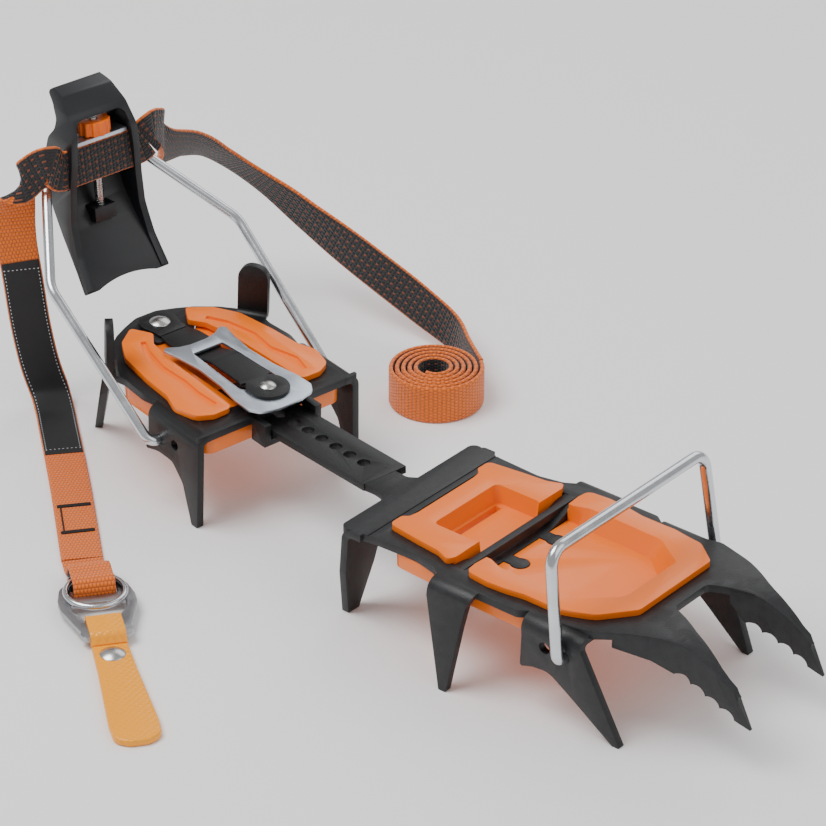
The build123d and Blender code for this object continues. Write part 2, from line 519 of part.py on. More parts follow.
def heel_lever():
    """Moulded lever: two side walls and a back web, with slots for the bail and the strap."""
    back = [(-97, 9.5, 1), (-104, 18, 10), (-114, 29, 10), (-121, 38, 10), (-126.5, 50, 12),
            (-127.6, 60, 12), (-126.5, 66.5, 6), (-123.4, 71, 4), (-123.2, 75, 4), (-127, 80, 5),
            (-131.8, 83.5, 1.2), (-129, 85.8, 1.2)]
    front = [(-122.5, 84.4, 3), (-115.6, 78.5, 6), (-111.4, 70, 10), (-110.2, 60, 12),
             (-110.0, 48, 12), (-108.6, 35, 12), (-103.4, 22.5, 12), (-95.0, 11.2, 1)]
    width = [(20.2, 9), (18.5, 30, 40), (17.3, 50, 40), (16, 68, 20), (13.5, 79, 6), (11, 86.5, 3)]
    lever = side_slab(back + front, -30, 30)
    lever &= front_slab(width + [(-p[0], *p[1:]) for p in width[::-1]], -140, -90)
    hollow = [(p[0] + LEVER_WEB, p[1], *p[2:]) for p in back[:8]] + [
        (-120, 76.5, 2), (-100, 76.5), (-80, 40), (-80, 5), (-94, 5)]
    inner = [(y - LEVER_WALL, z, *r) for y, z, *r in width[:4]] + [(11.5, 76.5, 4)]
    inner = [(inner[0][0], 3)] + inner[1:]
    lever -= side_slab(hollow, -30, 30) & front_slab(
        inner + [(-p[0], *p[1:]) for p in inner[::-1]], -140, -70)
    lever -= Pos(-100, 0, 9.2 - 55 + 3.4) * Rot(0, 90, 0) * Cylinder(55, 60)
    lever -= block(-140, -112, -7.8, 7.8, 65.5, 76.5)
    slot = tilted * (block(-SCREW_OFF - 2.4, -SCREW_OFF + 2.4, -40, 40, -NUT_TRAVEL,
                           NUT_TRAVEL))
    for end in (-NUT_TRAVEL, NUT_TRAVEL):
        slot += tilted * Pos(-SCREW_OFF, 0, end) * Rot(90, 0, 0) * Cylinder(2.4, 80)
    lever -= slot
    lever -= tilted * block(STRAP_OFF - 1.2, STRAP_OFF + 1.2, -40, 40,
                            STRAP_LIFT - WEB_WIDTH / 2 - 0.3, STRAP_LIFT + WEB_WIDTH / 2 + 0.3)
    lever += tilted * (block(-3.6, 3.4, -5, 5, SEAT - 6, SEAT)
                       + block(-6, -2, -5, 5, SEAT - 6, SEAT - 0.5))
    lever -= tilted * Pos(0, 0, SEAT) * Cylinder(SCREW_D / 2 + 0.06, 5)
    lever -= tilted * block(-9.2, 7.2, -12.4, 12.4, BEARING - 0.02, BEARING + 1.62)
    lever += pair(tilted * block(-6.5, 1.8, 12.3, 14.0, BEARING - 1.6, BEARING - 0.02))
    return lever



keep("heel_lever", heel_lever(), REAR)
bearing = block(-5.6, 5.2, -12.3, 12.3, BEARING, BEARING + 1.6)
keep("bearing_plate", bearing - Cylinder(SCREW_D / 2 + 0.06, 60), REAR * tilted)
screw_length = BEARING + 8.2 - (SEAT - 2.2)
screw = Pos(0, 0, SEAT - 2.2) * Cylinder(
    SCREW_D / 2, screw_length, align=(Align.CENTER, Align.CENTER, Align.MIN))
keep("adjuster_screw", screw, REAR * tilted)
wheel_z = BEARING + 2.0
wheel = Pos(0, 0, wheel_z) * Cylinder(
    WHEEL_D / 2 - 0.8, 5.6, align=(Align.CENTER, Align.CENTER, Align.MIN))
for i in range(12):
    wheel += Rot(0, 0, 30 * i) * Pos(WHEEL_D / 2 - 1.2, 0, wheel_z + 2.8) * Cylinder(1.1, 5.6)
keep("thumb_wheel", wheel - Cylinder(SCREW_D / 2 + 0.02, 90), REAR * tilted)
nut = block(-SCREW_OFF - 2.7, 2.45, -7, 7, -5, 5)
nut -= Cylinder(SCREW_D / 2 + 0.06, 60)
nut -= Pos(-SCREW_OFF, 0, 0) * Rot(90, 0, 0) * Cylinder(HEEL_WIRE / 2 + 0.06, 60)
keep("carriage_nut", nut, REAR * tilted)
strap_centre = block(STRAP_OFF - WEB_THICK / 2, STRAP_OFF + WEB_THICK / 2, -LACE_Y, LACE_Y,
                     STRAP_LIFT - WEB_WIDTH / 2, STRAP_LIFT + WEB_WIDTH / 2)
keep("strap_centre", strap_centre, REAR * tilted)

# ---------------------------------------------------------------- strap

UPRIGHT = (-0.14, 0, 1.0)
LAP = (0.645, 0.764, 0)
GROUND = -STAND + 0.1


def beside_lever(x, y, z):
    """A point given in the heel frame's own directions."""
    return tuple((REAR * Pos(x, y, z)).position)


lace = (tilted * Pos(STRAP_OFF, 0, STRAP_LIFT)).position
LACE_X, LACE_Z = lace.X, lace.Z
right_run = [(beside_lever(LACE_X, LACE_Y + 0.3, LACE_Z), UPRIGHT),
             (beside_lever(LACE_X, 21.5, LACE_Z + 1.6), UPRIGHT),
             (beside_lever(LACE_X, 24.4, LACE_Z + 4.6), UPRIGHT),
             (beside_lever(-116.0, 30, 60.4), (0.05, -0.08, 1)),
             ((-193.3, 77.2, 49.0), (0.28, -0.27, 0.92)), ((-199.6, 101, 38.4), (0.51, -0.38, 0.77)),
             ((-201.5, 117, 28.4), (0.66, -0.37, 0.65)), ((-198.9, 128.3, 18.8), (0.72, -0.28, 0.63)),
             ((-189, 137.6, 8), (0.76, -0.12, 0.62)), ((-171.5, 141.8, -2.2), (0.67, 0.06, 0.74)),
             ((-140.2, 142.6, -13.5), (0.5, 0.38, 0.76)), ((-112.9, 143.5, -23.6), (0.26, 0.36, 0.86)),
             ((-92, 141.6, -30.0), (0.1, 0.1, 0.98)),
             ((-80, 134.6, GROUND + WEB_WIDTH / 2), (0, 0, 1)),
             ((-65.6, 124.6, GROUND + WEB_WIDTH / 2), (0, 0, 1))]
keep("strap_right_run", ribbon(right_run))
left_run = [(beside_lever(LACE_X, -LACE_Y - 0.3, LACE_Z), UPRIGHT),
            (beside_lever(LACE_X, -21.5, LACE_Z + 1.6), UPRIGHT),
            (beside_lever(LACE_X, -24.4, LACE_Z + 4.6), UPRIGHT),
            (beside_lever(-116.8, -29.0, 59.5), (0.1, 0.1, 1)),
            ((-197.2, -1.2, 57.5), (0.4, 0.42, 0.81)), ((-200.0, -0.8, 46.5), (0.62, 0.66, 0.42)),
            ((-200.4, -0.4, 34.5), (0.67, 0.73, 0.1)),
            ((-199.3, 0.7, 19.5), (0.68, 0.73, 0.05)), ((-197.6, 3.2, -8), (0.66, 0.75, 0)),
            ((-196, 5.6, -24), LAP), ((-192.6, 6.6, -34.5), LAP),
            ((-186, 2.3, -38.4), LAP), ((-176, -6.1, GROUND + WEB_THICK / 2), LAP),
            ((-142.7, -34.3, GROUND + WEB_THICK / 2), LAP),
            ((-99.6, -72.2, GROUND + WEB_THICK / 2), (0.6, 0.8, 0))]
keep("strap_left_run", ribbon(left_run))


def strap_roll():
    """The strap's spare end rolled up on edge."""
    turns, step, start = 5.4, 24, radians(53.5)
    pitch = (ROLL_D / 2 - WEB_THICK / 2 - ROLL_CORE / 2) / turns
    inner, outer = [], []
    for i in range(int(turns * step) + 1):
        angle = start - 2 * pi * i / step
        radius = ROLL_D / 2 - WEB_THICK - pitch * i / step
        for line, extra in ((inner, 0), (outer, WEB_THICK)):
            line.append((ROLL_X + (radius + extra) * cos(angle),
                         ROLL_Y + (radius + extra) * sin(angle)))
    return slab(outer + inner[::-1], GROUND, GROUND + WEB_WIDTH)


keep("strap_roll", strap_roll())

# ---------------------------------------------------------------- rings and pull tab

RING = Pos(-75.0, -90.7, 0) * Rot(0, 0, -37.0)
BAR_Z = -STAND + 3.9
FOLD_END = 31.0
loop_end = side_slab([(-30, GROUND), (-30, GROUND + 2 * WEB_THICK), (-22, GROUND + 2 * WEB_THICK, 4),
                      (-16.4, -STAND + 9.6, 3), (-1.2, -STAND + 9.6, 3), (0, -STAND + 4, 3),
                      (-1.6, GROUND, 3)], -WEB_WIDTH / 2, WEB_WIDTH / 2)
loop_end -= side_slab([(-21, -STAND + 2.0, 1), (-15.8, -STAND + 7.8, 2), (-2.6, -STAND + 7.8, 2),
                       (-1.8, -STAND + 4, 2), (-2.8, -STAND + 2.0, 1)], -20, 20)
keep("strap_loop", loop_end, RING)
flat_ring = slab(both_sides([(-9.4, 8, 4), (-6.5, 12.6, 5), (2, 14.5, 6), (8, 14.4, 8),
                             (17, 11.6, 6), (24, 9.4, 1), (26, 9.9, 1), (28.8, 8.6, 1.5)]),
                 BAR_Z - 1, BAR_Z + 1)
flat_ring -= slab(both_sides([(-6.2, 8.6, 1), (0.6, 8.6, 1)]), BAR_Z - 3, BAR_Z + 3)
flat_ring -= slab(both_sides([(5.4, 10.8, 1.5), (10.6, 10, 4), (15, 6.8, 4), (17, 2.5, 3)]),
                  BAR_Z - 3, BAR_Z + 3)
flat_ring -= block(9, 16.9, -7.0, 7.0, BAR_Z - 3, BAR_Z + 3)
keep("flat_ring", flat_ring, RING)
wire_ring = Pos(0, 0, BAR_Z + 1.2 + RING_WIRE / 2) * Torus(RING_D / 2 - RING_WIRE / 2, RING_WIRE / 2)
keep("wire_ring", wire_ring, RING)
fold = side_slab([(15.2, BAR_Z - 2.6, 2), (15.2, BAR_Z + 2.6, 2), (FOLD_END - 2.4, BAR_Z + 2.6, 3),
                  (FOLD_END, BAR_Z - 1.0), (FOLD_END, BAR_Z - 2.9), (FOLD_END - 3, BAR_Z - 2.9)],
                 -6.6, 6.6)
fold -= side_slab([(16.5, BAR_Z - 1.3, 0.6), (16.5, BAR_Z + 1.3, 0.6), (29.3, BAR_Z + 1.3, 0.6),
                   (29.3, BAR_Z - 1.3, 0.6)], -20, 20)
keep("tab_fold", fold, RING)
pull_tab = slab(both_sides([(FOLD_END + 0.3, 6.7, 0), (48, 7.2, 60), (82, 9.1, 20), (91, 8.6, 6),
                            (94, 3.6, 5)]), GROUND, GROUND + 2.8)
keep("pull_tab", pull_tab, RING)
keep("tab_cap", rivet(37.8, 0, GROUND + 2.85, 9.6, 2.4, 0.01, 1.6), RING)

for name, shape in pieces.items():
    shape.label = name
    export_step(shape, f"parts/{name}.step")
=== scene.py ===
"""Looks for a hinged crampon with wire bails and a webbing ankle strap, laid out as an add-on."""

import math

import bmesh
import bpy
from mathutils import Matrix, Vector


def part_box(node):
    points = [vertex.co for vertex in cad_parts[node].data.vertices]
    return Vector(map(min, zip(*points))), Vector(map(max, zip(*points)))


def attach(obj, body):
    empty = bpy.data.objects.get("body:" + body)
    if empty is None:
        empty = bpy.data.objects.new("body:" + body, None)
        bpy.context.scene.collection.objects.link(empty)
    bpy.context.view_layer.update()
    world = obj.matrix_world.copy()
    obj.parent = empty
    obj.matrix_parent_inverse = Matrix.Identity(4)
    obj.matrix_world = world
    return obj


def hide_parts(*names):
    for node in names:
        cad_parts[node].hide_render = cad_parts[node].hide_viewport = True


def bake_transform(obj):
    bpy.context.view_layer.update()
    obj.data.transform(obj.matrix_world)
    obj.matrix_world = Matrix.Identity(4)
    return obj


bl_info = {
    "name": "Crampon looks",
    "version": (1, 0, 0),
    "blender": (4, 5, 0),
    "location": "3D View > Sidebar > Crampon",
    "description": "Builds the visual model of a hinged crampon over its engineering frame",
    "category": "Object",
}

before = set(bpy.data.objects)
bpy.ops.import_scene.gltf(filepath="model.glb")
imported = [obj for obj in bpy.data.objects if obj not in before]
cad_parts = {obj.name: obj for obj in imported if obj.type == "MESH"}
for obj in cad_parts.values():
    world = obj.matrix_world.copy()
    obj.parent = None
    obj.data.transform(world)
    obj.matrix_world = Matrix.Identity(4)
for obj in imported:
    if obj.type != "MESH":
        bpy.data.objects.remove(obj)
MM = 0.001

# ---------------------------------------------------------------- settings


class CrampSteelSettings(bpy.types.PropertyGroup):
    edge: bpy.props.FloatProperty(
        name="Edge rounding", description="Bevel on stamped steel edges",
        default=0.00045, unit="LENGTH")
    grain: bpy.props.FloatProperty(
        name="Coating grain", description="Size of the coating's fine bumps",
        default=0.0006, unit="LENGTH")
    roughness: bpy.props.FloatProperty(
        name="Coating roughness", description="How matt the black coating is",
        default=0.44, subtype="FACTOR")


class CrampPlasticSettings(bpy.types.PropertyGroup):
    edge: bpy.props.FloatProperty(
        name="Edge rounding", description="Bevel on moulded plastic edges",
        default=0.0011, unit="LENGTH")
    roughness: bpy.props.FloatProperty(
        name="Roughness", description="How matt the moulded plastic is",
        default=0.34, subtype="FACTOR")


class CrampWebSettings(bpy.types.PropertyGroup):
    width: bpy.props.FloatProperty(
        name="Width", description="Width of the webbing", default=0.016, unit="LENGTH")
    thick: bpy.props.FloatProperty(
        name="Thickness", description="Thickness of the webbing", default=0.0018, unit="LENGTH")
    rib: bpy.props.FloatProperty(
        name="Rib spacing", description="Distance between woven ribs along the webbing",
        default=0.00165, unit="LENGTH")
    turns: bpy.props.FloatProperty(
        name="Roll turns", description="Turns in the rolled-up end", default=5.4)
    stitch: bpy.props.FloatProperty(
        name="Stitch length", description="Length of one sewn stitch",
        default=0.0016, unit="LENGTH")


class CrampStageSettings(bpy.types.PropertyGroup):
    key: bpy.props.FloatProperty(
        name="Key light", description="Power of the main soft light", default=20.0, unit="POWER")
    fill: bpy.props.FloatProperty(
        name="Fill light", description="Power of the fill light", default=5.0, unit="POWER")
    sky: bpy.props.FloatProperty(
        name="Sky", description="Strength of the even background light", default=0.5)


# ---------------------------------------------------------------- shader groups


def group_io(name, inputs, outputs):
    """A new shader node group with the named sockets, and its input and output nodes."""
    tree = bpy.data.node_groups.new(name, "ShaderNodeTree")
    for label, kind, value in inputs:
        socket = tree.interface.new_socket(name=label, in_out="INPUT", socket_type=kind)
        socket.default_value = value
    for label, kind in outputs:
        tree.interface.new_socket(name=label, in_out="OUTPUT", socket_type=kind)
    return tree, tree.nodes.new("NodeGroupInput"), tree.nodes.new("NodeGroupOutput")


def maths(tree, kind, a, b=None, clamp=False):
    """A maths node; each operand is a socket or a number."""
    node = tree.nodes.new("ShaderNodeMath")
    node.operation = kind
    node.use_clamp = clamp
    for i, operand in enumerate((a, b)):
        if operand is None:
            continue
        if isinstance(operand, (int, float)):
            node.inputs[i].default_value = operand
        else:
            tree.links.new(operand, node.inputs[i])
    return node.outputs[0]


def mixed(tree, factor, a, b):
    """A colour mix; each colour is a socket or a tuple."""
    node = tree.nodes.new("ShaderNodeMix")
    node.data_type = "RGBA"
    if isinstance(factor, float):
        node.inputs["Factor"].default_value = factor
    else:
        tree.links.new(factor, node.inputs["Factor"])
    for index, colour in ((6, a), (7, b)):
        if isinstance(colour, tuple):
            node.inputs[index].default_value = colour
        else:
            tree.links.new(colour, node.inputs[index])
    return node.outputs[2]


def grain_group():
    """Fine bumps and a slightly uneven gloss, for coatings and moulded skins."""
    tree, src, out = group_io(
        "Fine grain",
        [("Size", "NodeSocketFloat", 0.0006), ("Depth", "NodeSocketFloat", 0.2),
         ("Roughness", "NodeSocketFloat", 0.4), ("Spread", "NodeSocketFloat", 0.1)],
        [("Roughness", "NodeSocketFloat"), ("Height", "NodeSocketFloat"),
         ("Cloud", "NodeSocketFloat")])
    coords = tree.nodes.new("ShaderNodeTexCoord")
    fine = tree.nodes.new("ShaderNodeTexNoise")
    fine.inputs["Detail"].default_value = 3.0
    tree.links.new(coords.outputs["Object"], fine.inputs["Vector"])
    tree.links.new(maths(tree, "DIVIDE", 1.0, src.outputs["Size"]), fine.inputs["Scale"])
    cloud = tree.nodes.new("ShaderNodeTexNoise")
    cloud.inputs["Scale"].default_value = 60.0
    cloud.inputs["Detail"].default_value = 4.0
    tree.links.new(coords.outputs["Object"], cloud.inputs["Vector"])
    centred = maths(tree, "SUBTRACT", cloud.outputs["Fac"], 0.5)
    rough = maths(tree, "MULTIPLY_ADD", centred, src.outputs["Spread"])
    tree.links.new(src.outputs["Roughness"], rough.node.inputs[2])
    tree.links.new(rough, out.inputs["Roughness"])
    tree.links.new(maths(tree, "MULTIPLY", fine.outputs["Fac"], src.outputs["Depth"]),
                   out.inputs["Height"])
    tree.links.new(cloud.outputs["Fac"], out.inputs["Cloud"])
    return tree


def wear_group():
    """Lighter colour along sharp edges, broken up by noise."""
    tree, src, out = group_io(
        "Edge wear",
        [("Color", "NodeSocketColor", (0.1, 0.1, 0.1, 1)),
         ("Bare", "NodeSocketColor", (0.3, 0.3, 0.3, 1)), ("Amount", "NodeSocketFloat", 0.3)],
        [("Color", "NodeSocketColor")])
    geometry = tree.nodes.new("ShaderNodeNewGeometry")
    coords = tree.nodes.new("ShaderNodeTexCoord")
    noise = tree.nodes.new("ShaderNodeTexNoise")
    noise.inputs["Scale"].default_value = 300.0
    tree.links.new(coords.outputs["Object"], noise.inputs["Vector"])
    sharp = maths(tree, "SUBTRACT", geometry.outputs["Pointiness"], 0.53)
    edge = maths(tree, "MULTIPLY", sharp, 9.0, clamp=True)
    broken = maths(tree, "MULTIPLY", edge, noise.outputs["Fac"])
    amount = maths(tree, "MULTIPLY", broken, src.outputs["Amount"], clamp=True)
    tree.links.new(mixed(tree, amount, src.outputs["Color"], src.outputs["Bare"]),
                   out.inputs["Color"])
    return tree


def weave_group():
    """Plain-woven ribs read from a map laid along the webbing, with its two faces' colours and
    painted shade in the valleys between the outer face's ribs.
    """
    tree, src, out = group_io(
        "Weave",
        [("Rib", "NodeSocketFloat", 0.0013), ("Outer", "NodeSocketColor", (0.8, 0.2, 0.02, 1)),
         ("Inner", "NodeSocketColor", (0.02, 0.02, 0.02, 1)),
         ("Pin", "NodeSocketColor", (0.6, 0.15, 0.02, 1))],
        [("Color", "NodeSocketColor"), ("Height", "NodeSocketFloat")])
    uv = tree.nodes.new("ShaderNodeUVMap")
    uv.uv_map = "lay"
    parts = tree.nodes.new("ShaderNodeSeparateXYZ")
    tree.links.new(uv.outputs["UV"], parts.inputs[0])
    across, along = parts.outputs[0], parts.outputs[1]
    face = tree.nodes.new("ShaderNodeAttribute")
    face.attribute_name = "outer"
    rows = maths(tree, "DIVIDE", along, src.outputs["Rib"])
    row_wave = maths(tree, "ABSOLUTE", maths(tree, "SINE", maths(tree, "MULTIPLY", rows, math.pi)))
    odd = maths(tree, "GREATER_THAN", maths(tree, "FRACT", maths(tree, "MULTIPLY", rows, 0.5)), 0.5)
    half_step = maths(tree, "MULTIPLY", odd, 0.5)
    columns = maths(tree, "ADD", maths(tree, "DIVIDE", across, 0.0014), half_step)
    column_wave = maths(tree, "ABSOLUTE",
                        maths(tree, "SINE", maths(tree, "MULTIPLY", columns, math.pi)))
    height = maths(tree, "POWER", maths(tree, "MULTIPLY", row_wave, column_wave), 0.5)
    # Painted shade: the outer face's colour is darkened towards the valleys between ribs, to 0.58 of
    # it at the bottom.
    shade = maths(tree, "MULTIPLY_ADD", height, 0.42)
    shade.node.inputs[2].default_value = 0.58
    lit = tree.nodes.new("ShaderNodeVectorMath")
    lit.operation = "SCALE"
    tree.links.new(src.outputs["Outer"], lit.inputs[0])
    tree.links.new(shade, lit.inputs["Scale"])
    stripe = maths(tree, "GREATER_THAN",
                   maths(tree, "FRACT", maths(tree, "DIVIDE", across, 0.0028)), 0.74)
    knot = maths(tree, "GREATER_THAN",
                 maths(tree, "FRACT", maths(tree, "MULTIPLY_ADD", rows, 0.5)), 0.62)
    middle = maths(tree, "LESS_THAN", maths(tree, "ABSOLUTE", across), 0.0068)
    dots = maths(tree, "MULTIPLY", maths(tree, "MULTIPLY", stripe, knot), middle)
    inner = mixed(tree, maths(tree, "MULTIPLY", dots, 0.55), src.outputs["Inner"],
                  src.outputs["Pin"])
    tree.links.new(mixed(tree, face.outputs["Fac"], inner, lit.outputs[0]), out.inputs["Color"])
    tree.links.new(height, out.inputs["Height"])
    return tree


def brush_group():
    """Fine drawn streaks with faint stains, for bare and plated metal."""
    tree, src, out = group_io(
        "Drawn metal",
        [("Color", "NodeSocketColor", (0.6, 0.6, 0.6, 1)), ("Roughness", "NodeSocketFloat", 0.3),
         ("Depth", "NodeSocketFloat", 0.2)],
        [("Color", "NodeSocketColor"), ("Roughness", "NodeSocketFloat"),
         ("Height", "NodeSocketFloat")])
    coords = tree.nodes.new("ShaderNodeTexCoord")
    cloud = tree.nodes.new("ShaderNodeTexNoise")
    cloud.inputs["Scale"].default_value = 170.0
    cloud.inputs["Detail"].default_value = 5.0
    fine = tree.nodes.new("ShaderNodeTexNoise")
    fine.inputs["Scale"].default_value = 1800.0
    for node in (cloud, fine):
        tree.links.new(coords.outputs["Object"], node.inputs["Vector"])
    dark = tree.nodes.new("ShaderNodeVectorMath")
    dark.operation = "SCALE"
    tree.links.new(src.outputs["Color"], dark.inputs[0])
    dark.inputs["Scale"].default_value = 0.72
    tree.links.new(mixed(tree, cloud.outputs["Fac"], dark.outputs[0], src.outputs["Color"]),
                   out.inputs["Color"])
    rough = maths(tree, "MULTIPLY_ADD", cloud.outputs["Fac"], 0.16)
    tree.links.new(src.outputs["Roughness"], rough.node.inputs[2])
    tree.links.new(rough, out.inputs["Roughness"])
    tree.links.new(maths(tree, "MULTIPLY", fine.outputs["Fac"], src.outputs["Depth"]),
                   out.inputs["Height"])
    return tree


def diamond_group():
    """Small raised diamonds, for coated fabric."""
    tree, src, out = group_io(
        "Diamond grain", [("Pitch", "NodeSocketFloat", 0.0024), ("Turn", "NodeSocketFloat", 0.6)],
        [("Height", "NodeSocketFloat")])
    coords = tree.nodes.new("ShaderNodeTexCoord")
    turn = tree.nodes.new("ShaderNodeVectorRotate")
    turn.rotation_type = "Z_AXIS"
    tree.links.new(coords.outputs["Object"], turn.inputs["Vector"])
    tree.links.new(src.outputs["Turn"], turn.inputs["Angle"])
    parts = tree.nodes.new("ShaderNodeSeparateXYZ")
    tree.links.new(turn.outputs[0], parts.inputs[0])
    waves = []
    for pair in ("ADD", "SUBTRACT"):
        slope = maths(tree, pair, parts.outputs[0], parts.outputs[1])
        turns = maths(tree, "DIVIDE", slope, src.outputs["Pitch"])
        waves.append(maths(tree, "ABSOLUTE",
                           maths(tree, "SINE", maths(tree, "MULTIPLY", turns, math.pi))))
    tree.links.new(maths(tree, "MULTIPLY", waves[0], waves[1]), out.inputs["Height"])
    return tree


# ---------------------------------------------------------------- materials


def shader(name, colour, roughness, metallic=0.0):
    """A new material and its principled shader, with plain values set."""
    material = bpy.data.materials.new("look " + name)
    material.use_nodes = True
    bsdf = material.node_tree.nodes["Principled BSDF"]
    bsdf.inputs["Base Color"].default_value = (*colour, 1)
    bsdf.inputs["Roughness"].default_value = roughness
    bsdf.inputs["Metallic"].default_value = metallic
    return material, bsdf


def put_group(material, group, **values):
    """Adds a node group to a material and sets its named inputs."""
    node = material.node_tree.nodes.new("ShaderNodeGroup")
    node.node_tree = group
    for label, value in values.items():
        node.inputs[label].default_value = value
    return node


def bump(material, bsdf, height, distance, strength=1.0):
    """Feeds a height socket to the shader's normal."""
    node = material.node_tree.nodes.new("ShaderNodeBump")
    node.inputs["Distance"].default_value = distance
    node.inputs["Strength"].default_value = strength
    material.node_tree.links.new(height, node.inputs["Height"])
    material.node_tree.links.new(node.outputs["Normal"], bsdf.inputs["Normal"])


def make_materials():
    """Every material of the crampon, by short name."""
    made = {}
    grain, wear, weave, drawn, diamond = (
        grain_group(), wear_group(), weave_group(), brush_group(), diamond_group())
    steel = bpy.context.scene.cramp_steel
    plastic = bpy.context.scene.cramp_plastic
    web = bpy.context.scene.cramp_web

    def skin(key, colour, roughness, size, depth, metallic=0.0, spread=0.12, worn=0.0,
             bare=(0.3, 0.3, 0.31)):
        material, bsdf = shader(key, colour, roughness, metallic)
        node = put_group(material, grain, Size=size, Depth=1.0, Roughness=roughness, Spread=spread)
        links = material.node_tree.links
        links.new(node.outputs["Roughness"], bsdf.inputs["Roughness"])
        bump(material, bsdf, node.outputs["Height"], depth)
        if worn:
            rub = put_group(material, wear, Color=(*colour, 1), Bare=(*bare, 1), Amount=worn)
            links.new(rub.outputs["Color"], bsdf.inputs["Base Color"])
        made[key] = material
        return bsdf

    bsdf = skin("black_coating", (0.0045, 0.0048, 0.0056), steel.roughness, steel.grain, 0.00010,
                metallic=0.0, worn=0.35, bare=(0.05, 0.052, 0.056))
    bsdf.inputs["Specular IOR Level"].default_value = 0.42
    bsdf = skin("orange_moulding", (0.93, 0.175, 0.0), plastic.roughness, 0.0011, 0.00002,
                worn=0.35, bare=(1.0, 0.24, 0.02))
    bsdf.inputs["Coat Weight"].default_value = 0.15
    bsdf.inputs["Subsurface Weight"].default_value = 0.06
    bsdf.inputs["Subsurface Radius"].default_value = (0.004, 0.0015, 0.0005)
    bsdf.inputs["Subsurface Scale"].default_value = 1.0
    skin("black_moulding", (0.006, 0.007, 0.009), 0.36, 0.0007, 0.00003, worn=0.35,
         bare=(0.03, 0.034, 0.042))
    skin("orange_wheel", (0.90, 0.15, 0.0), 0.38, 0.0009, 0.00003)
    skin("label_face", (0.006, 0.0065, 0.0075), 0.62, 0.0005, 0.00006)
    skin("thread_dark", (0.012, 0.010, 0.010), 0.8, 0.0005, 0.0001)
    skin("thread_pale", (0.55, 0.56, 0.58), 0.7, 0.0005, 0.0001)

    def metal(key, colour, roughness, depth):
        material, bsdf = shader(key, colour, roughness, 1.0)
        node = put_group(material, drawn, Color=(*colour, 1), Roughness=roughness, Depth=1.0)
        links = material.node_tree.links
        links.new(node.outputs["Color"], bsdf.inputs["Base Color"])
        links.new(node.outputs["Roughness"], bsdf.inputs["Roughness"])
        bump(material, bsdf, node.outputs["Height"], depth)
        made[key] = material

    metal("zinc_wire", (0.74, 0.76, 0.79), 0.13, 0.00002)
    metal("plated_sheet", (0.70, 0.76, 0.84), 0.30, 0.00004)
    metal("rivet_steel", (0.62, 0.61, 0.60), 0.18, 0.00002)
    metal("ring_steel", (0.47, 0.47, 0.49), 0.24, 0.00003)

    material, bsdf = shader("webbing", (0.8, 0.15, 0.01), 0.74)
    node = put_group(material, weave, Rib=web.rib, Outer=(0.90, 0.17, 0.0, 1),
                     Inner=(0.008, 0.006, 0.007, 1), Pin=(0.34, 0.075, 0.02, 1))
    material.node_tree.links.new(node.outputs["Color"], bsdf.inputs["Base Color"])
    bsdf.inputs["Sheen Weight"].default_value = 0.25
    bump(material, bsdf, node.outputs["Height"], 0.00042)
    made["webbing"] = material

    material, bsdf = shader("coated_tab", (0.98, 0.36, 0.0), 0.30)
    node = put_group(material, diamond, Pitch=0.0030, Turn=0.645)
    bump(material, bsdf, node.outputs["Height"], 0.00016)
    made["coated_tab"] = material
    return made


# ---------------------------------------------------------------- mesh helpers


def paint(obj, material):
    """Gives an object one material."""
    obj.data.materials.clear()
    obj.data.materials.append(bpy.data.materials["look " + material])


def shade(mesh, angle=math.radians(32)):
    """Smooth faces, kept sharp across edges steeper than the angle."""
    work = bmesh.new()
    work.from_mesh(mesh)
    for face in work.faces:
        face.smooth = True
    for edge in work.edges:
        edge.smooth = len(edge.link_faces) != 2 or edge.calc_face_angle(0) < angle
    work.to_mesh(mesh)
    work.free()


def soften(node, material, body, width, steps=2):
    """A copy of a frame node with welded faces and rounded edges, which stands for the node."""
    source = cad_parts[node]
    mesh = source.data.copy()
    mesh.materials.clear()
    work = bmesh.new()
    work.from_mesh(mesh)
    bmesh.ops.remove_doubles(work, verts=work.verts, dist=2e-6)
    bmesh.ops.dissolve_degenerate(work, edges=work.edges, dist=1e-6)
    bmesh.ops.dissolve_limit(work, angle_limit=math.radians(0.6), verts=work.verts,
                             edges=work.edges)
    work.to_mesh(mesh)
    work.free()
    obj = bpy.data.objects.new("vis_" + node, mesh)
    bpy.context.scene.collection.objects.link(obj)
    bevel = obj.modifiers.new("Round", "BEVEL")
    bevel.width = width
    bevel.segments = steps
    bevel.limit_method = "ANGLE"
    bevel.angle_limit = math.radians(34)
    bevel.use_clamp_overlap = True
    bevel.harden_normals = False
    flat_mesh(obj)
    shade(obj.data)
    paint(obj, material)
    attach(obj, body)
    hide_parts(node)
    return obj


def flat_mesh(obj):
    """Turns an object's modifiers into plain mesh."""
    graph = bpy.context.evaluated_depsgraph_get()
    mesh = bpy.data.meshes.new_from_object(obj.evaluated_get(graph))
    obj.modifiers.clear()
    obj.data = mesh


def in_heel(x, y, z):
    """A point given along the heel half's own directions, in millimetres, as a frame point."""
    turn = Matrix.Rotation(math.radians(-9.7), 4, "Z")
    lean = Matrix.Rotation(math.radians(3.2), 4, "Y")
    return turn @ Matrix.Translation((-76.0, 0, 0)) @ lean @ Vector((x, y, z))


